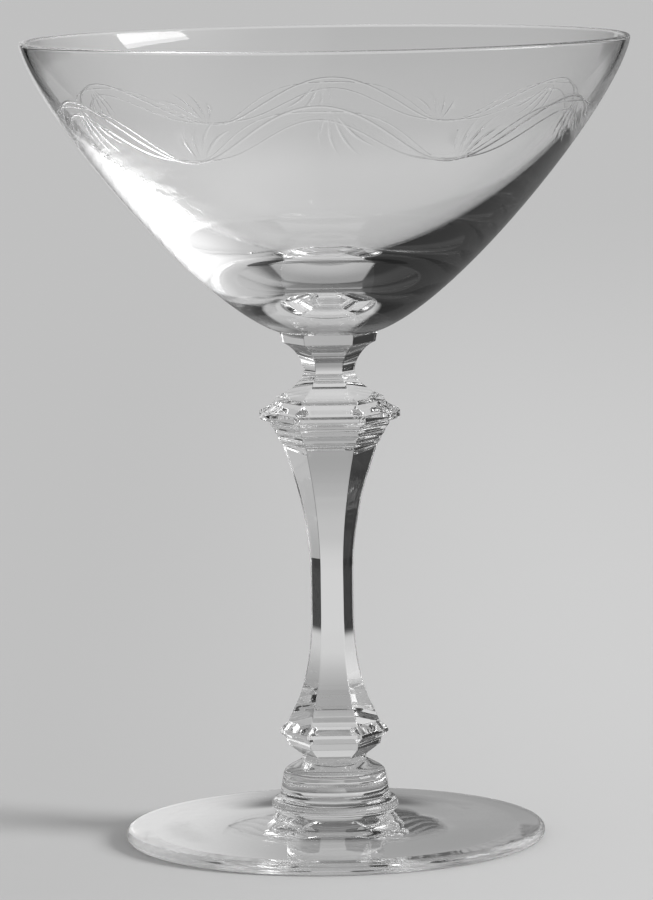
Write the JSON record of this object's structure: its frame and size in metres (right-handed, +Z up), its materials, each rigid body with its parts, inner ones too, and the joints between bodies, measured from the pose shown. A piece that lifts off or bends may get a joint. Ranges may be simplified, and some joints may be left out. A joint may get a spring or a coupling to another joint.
{
  "type": "sherbet glass",
  "caption": "Clear stemmed sherbet glass: flaring blown bowl with a band of shallow cutting, on a hexagonal knopped stem with a round button and disc foot.",
  "frame": {"origin": "centre of the foot's underside, on the surface that the glass stands on", "axes": "+Z up along the axis of the glass; +X through a corner of the hexagonal stem; -Y towards a flat side of the stem and the camera"},
  "size_m": [0.11, 0.11, 0.146],
  "materials": {
    "blown_glass": "clear, fire polished, with shallow cutting",
    "pressed_glass": "clear, fire polished"
  },
  "bodies": {
    "root": {"bowl": "blown_glass", "stem": "pressed_glass", "button": "pressed_glass", "foot": "pressed_glass"}
  },
  "joints": []
}
